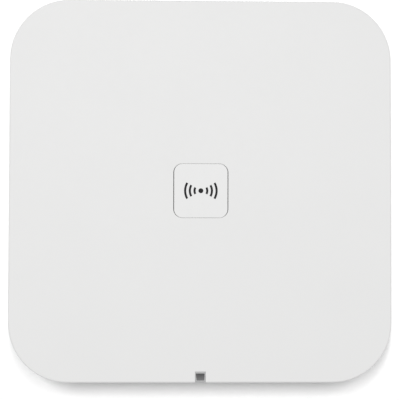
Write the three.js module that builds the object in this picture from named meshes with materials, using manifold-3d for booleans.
// Ceiling access point: a square radio housing that hooks onto a steel bracket screwed to the building.
// Millimetres. The pieces are drawn face on: x to the right, y up, z from the ceiling or wall to the viewer.
// The exported group turns that view upright, so that the front faces -Y and +Z is the top edge.
import * as THREE from "three";
import Module from "manifold-3d";
import { mergeVertices } from "three/addons/utils/BufferGeometryUtils.js";

const wasm = await Module();
wasm.setup();

// ---------------------------------------------------------------- driving dimensions
const side = 180; // the square front, edge to edge
const cornerRadius = 28;
const frontFace = 36; // from the mounting plane to the front
const edgeFillet = 0.8;
const coverWall = 2.2;
const coverRim = 19.4; // back edge of the front cover
const shadowGap = 0.6; // parting line between cover and housing
const housingBack = 2.2; // clear of the bracket plate
const housingWall = 2;
const housingTaper = 14; // how far the back is drawn in from the front outline
const lipHeight = 2.6; // of the housing's lip inside the cover
const clearance = 0.3; // between pieces that touch
const slideTravel = 8; // the device lifts this far off the bracket hooks

const badgeSide = 25.6;
const badgeRadius = 4;
const badgeGroove = 0.25;
const badgeThickness = 1.1;
const padThickness = 0.3; // the adhesive foam behind the badge

const notchWidth = 5; // the indicator window in the bottom edge
const notchHeight = 5.2;
const notchDepth = 7.6;

const bracketSide = 110;
const sheet = 1.5; // steel thickness
const portCutWidth = 74;
const portCutTop = -27;

const bay = { left: -38, right: 38, bottom: -66, top: -30, front: 18, wall: 1.3 }; // open to the back
const boardBack = 19.6;
const boardThickness = 1.6;
const boardFront = boardBack + boardThickness;
const boardHalf = { x: 55, y: 62 };
const boardGap = 0.3; // solder height under each part

const caseScrewAt = 62; // from the centre, both ways
const caseScrew = { radius: 1.45, headRadius: 2.8, headHeight: 2.2, seat: 14.8, point: 28 };
const insertRadius = 2.3;
const insertBack = 22;
const boardScrewAt = { x: 50, y: 57.5 };
const boardScrew = { radius: 1.2, headRadius: 2.4, headHeight: 1.7, seat: boardFront + 0.2, point: 12 };
const hookAt = { x: 47, upper: 30, lower: -44 }; // middle and lower edge of each bracket hook
const hook = { width: 8, stem: 2, lip: 7, window: 7.5 };

const jack = { width: 16, height: 13.2, length: 21.2, back: 4.5, mouth: -29.6 };
const coaxJack = { x: 14, width: 9, length: 14, back: 6.4, front: 17.7, barrel: 11.6, barrelRadius: 3.1 };
const lanJackAt = [-24, -5];
const resetAt = { x: 27, z: 12.5 };
const resetTravel = 0.5;
const resetRadius = 1.4;

const half = side / 2;
const coverInside = half - coverWall;
const coverCeiling = frontFace - coverWall;
const housingRim = coverRim - shadowGap;
const housingHalf = half - shadowGap;
const housingFloor = housingBack + housingWall;

const signs = [-1, 1];
const corners = [[-1, 1], [1, 1], [-1, -1], [1, -1]];

// ---------------------------------------------------------------- finishes
const paint = (color, roughness, metalness = 0) =>
  new THREE.MeshStandardMaterial({ color, roughness, metalness });
const white = paint(0xe6e6e5, 0.5);
const lightGrey = paint(0xd9dad9, 0.55);
const smoke = paint(0x5c5e60, 0.2);
const foam = paint(0x2a2a2a, 0.9);
const steel = paint(0xb9bcbd, 0.38, 1);
const zinc = paint(0xa8abac, 0.35, 1);
const brass = paint(0xc9a24a, 0.35, 1);
const tin = paint(0xc8cacb, 0.3, 1);
const aluminium = paint(0xb4b6b8, 0.4, 1);
const board = paint(0x1d5a35, 0.45);
const black = paint(0x17181a, 0.5);
const darkGrey = paint(0x3a3c3f, 0.6);
const paper = paint(0xf0f0ee, 0.7);
const rubberGrey = paint(0x8f9aa3, 0.8);
const copper = paint(0xb8734a, 0.35, 1);

// ---------------------------------------------------------------- solids
function solidOf(geometry) {
  const plain = geometry.clone();
  plain.deleteAttribute("normal");
  plain.deleteAttribute("uv");
  const merged = mergeVertices(plain, 1e-4);
  return new wasm.Manifold(
    new wasm.Mesh({
      numProp: 3,
      vertProperties: merged.attributes.position.array,
      triVerts: new Uint32Array(merged.index.array),
    }),
  );
}

function geometryOf(solid) {
  const mesh = solid.getMesh();
  const geometry = new THREE.BufferGeometry();
  geometry.setAttribute("position", new THREE.BufferAttribute(mesh.vertProperties, 3));
  geometry.setIndex(new THREE.BufferAttribute(mesh.triVerts, 1));
  geometry.computeVertexNormals();
  return geometry;
}

const join = (first, ...others) => others.reduce((made, one) => made.add(one), first);
const cut = (body, ...tools) => tools.reduce((made, one) => made.subtract(one), body);

function box(x0, x1, y0, y1, z0, z1) {
  const geometry = new THREE.BoxGeometry(x1 - x0, y1 - y0, z1 - z0);
  return solidOf(geometry.translate((x0 + x1) / 2, (y0 + y1) / 2, (z0 + z1) / 2));
}

// A box given by its middle in x and y, its two sizes and its two heights.
const block = (x, y, width, height, z0, z1) =>
  box(x - width / 2, x + width / 2, y - height / 2, y + height / 2, z0, z1);

// A box that reaches equally far up and down from the middle.
const band = (x0, x1, halfHeight, z0, z1) => box(x0, x1, -halfHeight, halfHeight, z0, z1);

// A round bar along z.
function bar(x, y, radius, z0, z1, sides = 16) {
  const geometry = new THREE.CylinderGeometry(radius, radius, z1 - z0, sides);
  return solidOf(geometry.rotateX(Math.PI / 2).translate(x, y, (z0 + z1) / 2));
}

// A round bar along y.
function barAlongY(x, z, radius, y0, y1, sides = 16) {
  const geometry = new THREE.CylinderGeometry(radius, radius, y1 - y0, sides);
  return solidOf(geometry.translate(x, (y0 + y1) / 2, z));
}

function roundedRectangle(halfWidth, halfHeight, radius, x = 0, y = 0) {
  const shape = new THREE.Shape();
  shape.moveTo(x + halfWidth, y - halfHeight + radius);
  shape.lineTo(x + halfWidth, y + halfHeight - radius);
  shape.absarc(x + halfWidth - radius, y + halfHeight - radius, radius, 0, Math.PI / 2);
  shape.absarc(x - halfWidth + radius, y + halfHeight - radius, radius, Math.PI / 2, Math.PI);
  shape.absarc(x - halfWidth + radius, y - halfHeight + radius, radius, Math.PI, Math.PI * 1.5);
  shape.absarc(x + halfWidth - radius, y - halfHeight + radius, radius, Math.PI * 1.5, Math.PI * 2);
  return shape;
}

const roundedSquare = (halfSide, radius) => roundedRectangle(halfSide, halfSide, radius);

function slab(shape, z0, z1, curveSegments = 8) {
  const geometry = new THREE.ExtrudeGeometry(shape, { depth: z1 - z0, bevelEnabled: false, curveSegments });
  return solidOf(geometry.translate(0, 0, z0));
}

// A rounded square slab whose two edges curve in by inset over a height of rise, ending flat at z0 and z1.
function pillow(halfSide, radius, z0, z1, inset, rise, bevelSegments) {
  const shape = roundedSquare(halfSide - inset, radius - inset);
  const geometry = new THREE.ExtrudeGeometry(shape, {
    depth: z1 - z0 - 2 * rise,
    bevelEnabled: true,
    bevelThickness: rise,
    bevelSize: inset,
    bevelSegments,
    curveSegments: 8,
  });
  return solidOf(geometry.translate(0, 0, z0 + rise));
}

// A profile drawn in the y-z plane and drawn out along x to both sides of the middle.
function sideProfile(points, width, x = 0) {
  const shape = new THREE.Shape(points.map(([y, z]) => new THREE.Vector2(y, z)));
  const geometry = new THREE.ExtrudeGeometry(shape, { depth: width, bevelEnabled: false });
  geometry.applyMatrix4(new THREE.Matrix4().set(0, 0, 1, x - width / 2, 1, 0, 0, 0, 0, 1, 0, 0, 0, 0, 0, 1));
  return solidOf(geometry);
}

const atCaseScrews = (make) => corners.map(([sx, sy]) => make(sx * caseScrewAt, sy * caseScrewAt));
const atBoardScrews = (make) => corners.map(([sx, sy]) => make(sx * boardScrewAt.x, sy * boardScrewAt.y));

// ---------------------------------------------------------------- the scene graph
const accessPoint = new THREE.Group();
accessPoint.rotation.x = Math.PI / 2;

function add(name, solid, material) {
  const mesh = new THREE.Mesh(geometryOf(solid), material);
  mesh.name = name;
  accessPoint.add(mesh);
}

// ---------------------------------------------------------------- front cover, badge and light pipe
const badgeBack = frontFace - badgeThickness;
const badgeSeat = badgeBack - padThickness - 0.2;
const overlap = 0.5; // how far joined shapes reach into each other
const coverBoss = { radius: 4.2, bore: 2.4, back: coverRim + 2 };
const coverRib = { halfLength: 60, offset: 40, halfWidth: 0.6, height: 1.2 };

function frontCover() {
  const below = coverRim - 11;
  const outside = pillow(half, cornerRadius, below + 1, frontFace, edgeFillet, edgeFillet, 3);
  const belowRim = box(-half - 1, half + 1, -half - 1, half + 1, below, coverRim);
  const inside = slab(roundedSquare(coverInside, cornerRadius - coverWall), below, coverCeiling);
  const seatPad = slab(
    roundedSquare(badgeSide / 2 + 2, badgeRadius + 2), badgeSeat - 1.6, coverCeiling + overlap, 3);
  const badgePocket = slab(
    roundedSquare(badgeSide / 2 + badgeGroove, badgeRadius + badgeGroove), badgeSeat, frontFace + 1, 4);
  const notch = box(-notchWidth / 2, notchWidth / 2, -half - 1, -half + notchHeight,
    frontFace - notchDepth, frontFace + 1);
  const bosses = atCaseScrews((x, y) => bar(x, y, coverBoss.radius, coverBoss.back, coverCeiling + overlap));
  const bores = atCaseScrews((x, y) => bar(x, y, coverBoss.bore, coverBoss.back - 1, coverRim + 10));
  const ribs = signs.map((s) => block(0, s * coverRib.offset, 2 * coverRib.halfLength, 2 * coverRib.halfWidth,
    coverCeiling - coverRib.height, coverCeiling + overlap));
  return cut(join(cut(outside, belowRim, inside), seatPad, ...bosses, ...ribs), badgePocket, notch, ...bores);
}

function badgePlate() {
  return slab(roundedSquare(badgeSide / 2, badgeRadius), badgeBack, frontFace, 6);
}

// Black foam that fills the pocket's floor, seen as a dark line round the badge.
function badgePad() {
  const reach = badgeGroove - 0.15;
  return slab(roundedSquare(badgeSide / 2 + reach, badgeRadius + reach),
    badgeSeat + 0.1, badgeSeat + 0.1 + padThickness, 6);
}

// One clear moulding: the bar picks light up over the diode and the head fills the notch in the cover's edge.
const pipeBar = { end: -56, thickness: 3, aboveBoard: 2 };

function lightPipe() {
  const inset = 0.2; // of the head, below the cover's face and edge
  const top = frontFace - inset;
  const outer = -half + inset;
  const headInside = -half + notchHeight - clearance;
  const barBottom = boardFront + pipeBar.aboveBoard;
  const barTop = barBottom + pipeBar.thickness;
  const stemOutside = -coverInside + clearance;
  const headBottom = frontFace - notchDepth + clearance;
  const turn = edgeFillet - inset;
  return sideProfile([
    [pipeBar.end, barBottom],
    [pipeBar.end - pipeBar.thickness, barTop],
    [headInside, barTop],
    [headInside, top],
    [outer + turn, top],
    [outer, top - turn],
    [outer, headBottom],
    [stemOutside, headBottom],
    [stemOutside, barBottom],
  ], notchWidth - 2 * clearance);
}

// ---------------------------------------------------------------- rear housing
const vent = { middle: 78, length: 28, width: 1.8, pitch: 5, first: 14, rows: 7, front: 12 };
const tower = { radius: 5.5, wellRadius: 3.6, holeRadius: 1.75, front: coverRim + 1.6 };
const post = { radius: 3.5, boreRadius: 1.35, boreBack: 10 };
const scoop = { inner: 73.5, halfHeight: 9, floor: 6 }; // finger room around the lock slider's thumb
const pocketWall = 2; // of the bay's and the scoop's walls

function rearHousing() {
  const depth = housingRim - housingBack;
  // Each pillow is twice as deep as it is used, so that its widest place is the rim.
  const outside = pillow(housingHalf, cornerRadius - shadowGap, housingBack, housingBack + 2 * depth + 0.02,
    housingTaper, depth, 7);
  const insideDepth = housingRim - housingFloor;
  const inside = pillow(housingHalf - housingWall, cornerRadius - shadowGap - housingWall, housingFloor,
    housingFloor + 2 * insideDepth + 0.02, housingTaper - 1.4, insideDepth, 7);
  const aboveRim = box(-half - 1, half + 1, -half - 1, half + 1, housingRim, housingRim + depth + 10);
  const solidShape = cut(outside, aboveRim);

  const lipOutside = slab(roundedSquare(coverInside - 0.4, cornerRadius - coverWall - 0.4),
    housingRim - 2.5, housingRim + lipHeight);
  const lipInside = slab(roundedSquare(coverInside - 2, cornerRadius - coverWall - 2),
    housingRim - 3.5, housingRim + lipHeight + 1);
  const shell = join(cut(solidShape, inside), cut(lipOutside, lipInside));

  const bayWalls = box(bay.left - pocketWall, bay.right + pocketWall,
    bay.bottom - pocketWall, bay.top + pocketWall, housingBack, bay.front + bay.wall);
  const bayRoom = box(bay.left, bay.right, bay.bottom, bay.top, housingBack - 1, bay.front);
  const scoopWalls = band(scoop.inner - pocketWall, half, scoop.halfHeight + pocketWall,
    housingBack, scoop.floor + pocketWall).intersect(solidShape);
  const scoopRoom = band(scoop.inner, half + 1, scoop.halfHeight, housingBack - 1, scoop.floor);

  const towers = atCaseScrews((x, y) => bar(x, y, tower.radius, housingBack + 1, tower.front, 20));
  const wells = atCaseScrews((x, y) => join(
    bar(x, y, tower.wellRadius, housingBack - 1, caseScrew.seat + 0.2, 20),
    bar(x, y, tower.holeRadius, caseScrew.seat - 1, tower.front + 1)));
  const posts = atBoardScrews((x, y) => bar(x, y, post.radius, housingBack + 1, boardBack - clearance));
  const postBores = atBoardScrews((x, y) => bar(x, y, post.boreRadius, post.boreBack, boardBack, 12));

  return cut(
    join(shell, bayWalls, scoopWalls, ...towers, ...posts),
    bayRoom, scoopRoom, ...wells, ...postBores,
    ...connectorApertures(), ...hookWindows(), ...vents(), sliderSlot(), securitySlot(),
  );
}

// Windows in the bay's upper wall, through which the connectors and the reset button face down.
function connectorApertures() {
  const wall = [bay.top - 1, bay.top + pocketWall + 1];
  const aperture = (x, width, back, front) => box(x - width / 2 - clearance, x + width / 2 + clearance,
    ...wall, back - clearance, front + clearance);
  const jacks = lanJackAt.map((x) => aperture(x, jack.width, jack.back, jack.back + jack.height));
  const power = aperture(coaxJack.x, coaxJack.width, coaxJack.back, coaxJack.front);
  const reset = barAlongY(resetAt.x, resetAt.z, resetRadius + 0.4, ...wall);
  return [...jacks, power, reset];
}

const atHooks = (make) =>
  signs.flatMap((s) => [hookAt.upper, hookAt.lower].map((y) => make(s * hookAt.x, y)));

// Each window lets a hook in, and its upper edge then drops behind the hook's lip.
function hookWindows() {
  const sideGap = 1;
  return atHooks((x, y) => box(x - hook.width / 2 - sideGap, x + hook.width / 2 + sideGap,
    y - slideTravel - 0.5, y + hook.stem + clearance, housingBack - 1, housingFloor + 1));
}

// Cooling slots that run from the flat back round the curved sides.
function vents() {
  return corners.flatMap(([sx, sy]) => Array.from({ length: vent.rows }, (_, row) =>
    block(sx * vent.middle, sy * (vent.first + row * vent.pitch), vent.length, vent.width,
      housingBack - 1, vent.front)));
}

// A slot for an anti-theft lock in the left side, backed by a steel plate.
const theftSlot = { halfLength: 3.5, back: 12, front: 15, outside: -half - 2, inside: -84 };

function securitySlot(inside = theftSlot.inside) {
  return band(theftSlot.outside, inside, theftSlot.halfLength, theftSlot.back, theftSlot.front);
}

function securityPlate() {
  const plate = band(-83.6, -82.4, 8, 9.5, 18.3);
  return cut(plate, securitySlot(-82));
}

const label = { halfWidth: 35, halfHeight: 7, radius: 1.5, y: 65, thickness: 0.15 };

function ratingLabel() {
  const front = housingBack - 0.1;
  const outline = roundedRectangle(label.halfWidth, label.halfHeight, label.radius, 0, label.y);
  return slab(outline, front - label.thickness, front, 2);
}

// ---------------------------------------------------------------- lock slider
// Slides 5 mm towards the bracket, where its tongue drops into a notch in the steel.
const slider = {
  tongue: { inner: 55.8, halfWidth: 2 },
  blade: { inner: 60.6, outer: 84, halfWidth: 6, back: 0.5, thickness: 1.4 },
  neck: { inner: 62, outer: 69, halfWidth: 2.5 },
  flange: { inner: 60, outer: 70.5, halfWidth: 5, thickness: 1.3 },
  thumb: { inner: 79, halfWidth: 7, front: 5.2 },
  groove: { first: 80.2, pitch: 1.3, halfWidth: 0.3, depth: 0.4 },
  travel: 5,
};

function lockSlider() {
  const { tongue, blade, neck, flange, thumb, groove } = slider;
  const bladeFront = blade.back + blade.thickness;
  const flangeBack = housingFloor + clearance;
  const grooves = [0, 1, 2].map((i) => {
    const x = groove.first + i * groove.pitch;
    return band(x - groove.halfWidth, x + groove.halfWidth, thumb.halfWidth + 1,
      thumb.front - groove.depth, thumb.front + 1);
  });
  const body = join(
    band(blade.inner, blade.outer, blade.halfWidth, blade.back, bladeFront),
    band(tongue.inner, blade.inner + overlap, tongue.halfWidth, blade.back, bladeFront),
    band(neck.inner, neck.outer, neck.halfWidth, bladeFront - 0.4, flangeBack + 0.2),
    band(flange.inner, flange.outer, flange.halfWidth, flangeBack, flangeBack + flange.thickness),
    band(thumb.inner, blade.outer, thumb.halfWidth, blade.back, thumb.front),
  );
  return cut(body, ...grooves);
}

// The slot in the housing that the neck runs in, with its travel.
function sliderSlot() {
  const { neck, travel } = slider;
  return band(neck.inner - travel - clearance, neck.outer + clearance, neck.halfWidth + clearance,
    housingBack - 1, housingFloor + 1);
}

// ---------------------------------------------------------------- mounting bracket
// The tongue drops into the first notch when the device hangs on its hooks, and the second lets it pass before.
const lockNotch = { halfWidth: 2.4, depth: 4.8, tooth: 3.2, secondTop: 14 };
const bracketHole = { radius: 2, x: 46, upper: 47, lower: -22 };
const bracketSlot = { halfLength: 6, outer: [30, 0], inner: [20, 22], top: [0, 42] };
const bracketRadius = 8;

function mountingBracket() {
  const edge = bracketSide / 2;
  const through = [-1, sheet + 1];
  const slotRadius = bracketHole.radius - 0.01;
  const plate = slab(roundedSquare(edge, bracketRadius), 0, sheet, 4);
  const portCut = box(-portCutWidth / 2, portCutWidth / 2, -edge - 1, portCutTop, ...through);
  const lockNotches = [
    [-lockNotch.halfWidth, lockNotch.halfWidth],
    [lockNotch.halfWidth + lockNotch.tooth, lockNotch.secondTop],
  ].map(([low, high]) => box(edge - lockNotch.depth, edge + 1, low, high, ...through));
  const windows = atHooks((x, y) =>
    box(x - hook.width / 2, x + hook.width / 2, y - hook.window, y, ...through));
  const holes = signs.flatMap((s) => [bracketHole.upper, bracketHole.lower].map((y) =>
    bar(s * bracketHole.x, y, bracketHole.radius, ...through, 12)));
  const sideSlots = signs.flatMap((s) => [bracketSlot.outer, bracketSlot.inner].map(([x, y]) =>
    slab(roundedRectangle(bracketSlot.halfLength, bracketHole.radius, slotRadius, s * x, y), ...through, 4)));
  const upright = [bracketHole.radius, bracketSlot.halfLength, slotRadius];
  const topSlot = slab(roundedRectangle(...upright, ...bracketSlot.top), ...through, 4);
  return cut(join(cut(plate, portCut, ...lockNotches, ...windows), ...atHooks(bracketHook)),
    ...holes, ...sideSlots, topSlot);
}

// A tongue bent forward out of the plate, with a lip that points up.
function bracketHook(x, y) {
  const lipBack = housingFloor + clearance;
  const [left, right] = [x - hook.width / 2, x + hook.width / 2];
  return join(
    box(left, right, y, y + hook.stem, 0, lipBack + sheet),
    box(left, right, y, y + hook.lip, lipBack, lipBack + sheet),
  );
}

// ---------------------------------------------------------------- fasteners
// A pan-head screw along z. point is the tip's height and seat the height of the face under its head.
function screw(x, y, { radius, headRadius, headHeight, seat, point }) {
  const towards = Math.sign(point - seat);
  const rising = (a, b) => [Math.min(a, b), Math.max(a, b)];
  const headOuter = seat - towards * headHeight;
  const shank = bar(x, y, radius, ...rising(seat, point), 12);
  const head = bar(x, y, headRadius, ...rising(seat, headOuter), 16);
  const socket = bar(x, y, headRadius * 0.45,
    ...rising(headOuter + towards * headHeight * 0.6, headOuter - towards), 6);
  return cut(join(shank, head), socket);
}

// A knurled brass bush, melted into the cover's boss.
function threadedInsert(x, y) {
  const front = insertBack + 6;
  return cut(bar(x, y, insertRadius, insertBack, front), bar(x, y, 1.6, insertBack - 1, front + 1, 12));
}

// ---------------------------------------------------------------- circuit board and what sits on it
function circuitBoard() {
  const plate = slab(roundedRectangle(boardHalf.x, boardHalf.y, 2), boardBack, boardFront, 2);
  return cut(plate, ...atBoardScrews((x, y) => bar(x, y, 1.5, boardBack - 1, boardFront + 1, 12)));
}

const onBack = (x, y, width, height, tall) =>
  block(x, y, width, height, boardBack - boardGap - tall, boardBack - boardGap);
const onFront = (x, y, width, height, tall) =>
  block(x, y, width, height, boardFront + boardGap, boardFront + boardGap + tall);

const plugRoom = { halfWidth: 6, depth: 14, back: 4, wall: 1.6 };
const latchRoom = { halfWidth: 3.2, depth: 12, back: 1.4 };

// A shielded modular jack: its mouth faces down into the connector bay.
function lanJack(x) {
  const { mouth, back } = jack;
  const front = back + jack.height;
  const [left, right, end] = [x - jack.width / 2, x + jack.width / 2, mouth + jack.length];
  const shell = box(left, right, mouth, end, back, front);
  const foot = box(left + 1, right - 1, end - 12, end - 1, front - 1, boardBack - boardGap);
  const room = box(x - plugRoom.halfWidth, x + plugRoom.halfWidth, mouth - 1, mouth + plugRoom.depth,
    back + plugRoom.back, front - plugRoom.wall);
  const latch = box(x - latchRoom.halfWidth, x + latchRoom.halfWidth, mouth - 1, mouth + latchRoom.depth,
    back + latchRoom.back, back + plugRoom.back + 1);
  return cut(join(shell, foot), room, latch);
}

function powerJack() {
  const { x, width, length, back, front, barrel, barrelRadius } = coaxJack;
  const [left, right, end] = [x - width / 2, x + width / 2, jack.mouth + length];
  const body = box(left, right, jack.mouth, end, back, front);
  const foot = box(left, right, end - 9, end, front - 1, boardBack - boardGap);
  const room = barAlongY(x, barrel, barrelRadius, jack.mouth - 1, jack.mouth + 9);
  const pin = barAlongY(x, barrel, 1, jack.mouth + 1, jack.mouth + 10, 10);
  return join(cut(join(body, foot), room), pin);
}

const resetFace = bay.top - 1;
const resetSwitchFace = -24;
const resetSwitchEnd = -20;

// A cap on a stem with a collar, which stops behind the bay's wall.
function resetButton() {
  return join(
    barAlongY(resetAt.x, resetAt.z, resetRadius, resetFace, resetSwitchFace - 2),
    barAlongY(resetAt.x, resetAt.z, resetRadius + 0.8, -27.4, resetSwitchFace - resetTravel - 0.2),
  );
}

function resetSwitch() {
  const [left, right] = [resetAt.x - 3, resetAt.x + 3];
  return join(
    box(left, right, resetSwitchFace, resetSwitchEnd, resetAt.z - 3, resetAt.z + 3),
    box(left, right, resetSwitchEnd - 1.5, resetSwitchEnd, resetAt.z + 2, boardBack - boardGap),
  );
}

// Extruded heat sink: fins point to the ventilated back.
const sink = {
  halfWidth: 34, bottom: 1, top: 46, baseBack: 14.4, baseFront: 17.2, finBack: 8, fins: 9, fin: 1.4,
};

function heatSink() {
  const pitch = (2 * sink.halfWidth - sink.fin) / (sink.fins - 1);
  const base = box(-sink.halfWidth, sink.halfWidth, sink.bottom, sink.top, sink.baseBack, sink.baseFront);
  const fins = Array.from({ length: sink.fins }, (_, i) => {
    const left = -sink.halfWidth + i * pitch;
    return box(left, left + sink.fin, sink.bottom, sink.top, sink.finBack, sink.baseBack + 1);
  });
  return join(base, ...fins);
}

const processor = { y: 23, side: 21, height: 1.4 };

function thermalPad() {
  const padSide = processor.side - 1;
  const chipBack = boardBack - boardGap - processor.height;
  return block(0, processor.y, padSide, padSide, sink.baseFront + 0.1, chipBack - 0.1);
}

const radio = { x: 26, y: 22, width: 40, height: 34, lid: 3.2, wall: 0.4 };

// A drawn tin lid over a radio chip, open towards the board.
function radioShield(x) {
  const { y, width, height, wall } = radio;
  const [z0, z1] = [boardFront + boardGap, boardFront + boardGap + radio.lid];
  const room = block(x, y, width - 2 * wall, height - 2 * wall, z0 - 1, z1 - wall);
  return cut(block(x, y, width, height, z0, z1), room);
}

const antenna = { x: 34, y: 48, width: 26, height: 9, back: 29.6, sheet: 0.6, leg: 3 };

// A stamped inverted-F antenna: a raised plate on a feed leg and a ground leg.
function cornerAntenna(sx, sy) {
  const { width, height, leg } = antenna;
  const [x, y] = [sx * antenna.x, sy * antenna.y];
  const foot = boardFront + boardGap;
  const front = antenna.back + antenna.sheet;
  return join(
    block(x, y, width, height, antenna.back, front),
    block(x - sx * (width - antenna.sheet) / 2, y + leg, antenna.sheet, leg, foot, front),
    block(x - sx * 8, y - (height - antenna.sheet) / 2, leg, antenna.sheet, foot, front),
  );
}

const sideBoard = { x: 74, width: 14, height: 44, thickness: 0.6 };

// A printed antenna stuck under the cover's ceiling.
function sideAntenna(sx) {
  const front = coverCeiling - clearance;
  return block(sx * sideBoard.x, 0, sideBoard.width, sideBoard.height, front - sideBoard.thickness, front);
}

const coaxRadius = 0.7;
const coaxPlugAt = { x: 50, y: -8 };

function coaxPlug(sx) {
  return bar(sx * coaxPlugAt.x, coaxPlugAt.y, 1.5, boardFront + boardGap, boardFront + 2, 12);
}

// The pigtail leaves its plug, crosses the gap beside the board and ends under the side antenna.
function coaxCable(sx) {
  const z0 = boardFront + 2 + clearance + coaxRadius;
  const z1 = coverCeiling - sideBoard.thickness - 2 * clearance - coaxRadius;
  const route = new THREE.CatmullRomCurve3([
    new THREE.Vector3(sx * coaxPlugAt.x, coaxPlugAt.y, z0),
    new THREE.Vector3(sx * 55, coaxPlugAt.y, z0 + 0.4),
    new THREE.Vector3(sx * 60, -5, 26),
    new THREE.Vector3(sx * 65, 0, 29),
    new THREE.Vector3(sx * 70, 3, z1 - 0.6),
    new THREE.Vector3(sx * 75, 3, z1),
  ]);
  const section = new THREE.Shape().absarc(0, 0, coaxRadius, 0, Math.PI * 2);
  return solidOf(new THREE.ExtrudeGeometry(section, { steps: 20, extrudePath: route, curveSegments: 3 }));
}

const can = { x: 44, radius: 4, height: 11 };

function capacitor(y) {
  return bar(can.x, y, can.radius, boardBack - boardGap - can.height, boardBack - boardGap, 16);
}

// ---------------------------------------------------------------- assembly
add("front_cover", frontCover(), white);
add("badge_plate", badgePlate(), white);
add("badge_adhesive_pad", badgePad(), foam);
add("light_pipe", lightPipe(), smoke);
add("rear_housing", rearHousing(), lightGrey);
add("rating_label", ratingLabel(), paper);
add("security_slot_plate", securityPlate(), steel);
add("lock_slider", lockSlider(), darkGrey);
add("mounting_bracket", mountingBracket(), steel);

function addNumbered(name, solids, material) {
  solids.forEach((solid, index) => add(`${name}_${index + 1}`, solid, material));
}

addNumbered("housing_screw", atCaseScrews((x, y) => screw(x, y, caseScrew)), zinc);
addNumbered("threaded_insert", atCaseScrews(threadedInsert), brass);
addNumbered("board_screw", atBoardScrews((x, y) => screw(x, y, boardScrew)), zinc);
addNumbered("corner_antenna", corners.map(([sx, sy]) => cornerAntenna(sx, sy)), tin);

add("main_circuit_board", circuitBoard(), board);
addNumbered("lan_jack", lanJackAt.map(lanJack), tin);
add("power_jack", powerJack(), black);
add("reset_switch", resetSwitch(), black);
add("reset_button", resetButton(), darkGrey);
add("status_led", onFront(0, -58, 3.2, 2.8, 1.1), paper);

add("processor_chip", onBack(0, processor.y, processor.side, processor.side, processor.height), black);
add("thermal_pad", thermalPad(), rubberGrey);
add("heat_sink", heatSink(), aluminium);
add("memory_chip", onBack(-23, 30, 9, 13, 1.1), black);
add("flash_chip", onBack(22, 30, 8, 6, 1.1), black);
addNumbered("lan_transformer", lanJackAt.map((x) => onFront(x, -20, 13, 16, 5.5)), black);
add("power_transformer", onBack(44, -12, 13, 14, 10), black);
add("power_inductor", onBack(-46, -10, 10, 10, 5), darkGrey);
addNumbered("capacitor", [4, 14].map(capacitor), black);

signs.forEach((sx, index) => {
  const place = ["left", "right"][index];
  add(`radio_shield_${place}`, radioShield(sx * radio.x), tin);
  add(`radio_chip_${place}`, onFront(sx * radio.x, radio.y, 10, 10, 1), black);
  add(`side_antenna_${place}`, sideAntenna(sx), copper);
  add(`coax_plug_${place}`, coaxPlug(sx), brass);
  add(`coax_cable_${place}`, coaxCable(sx), black);
});

export default accessPoint;
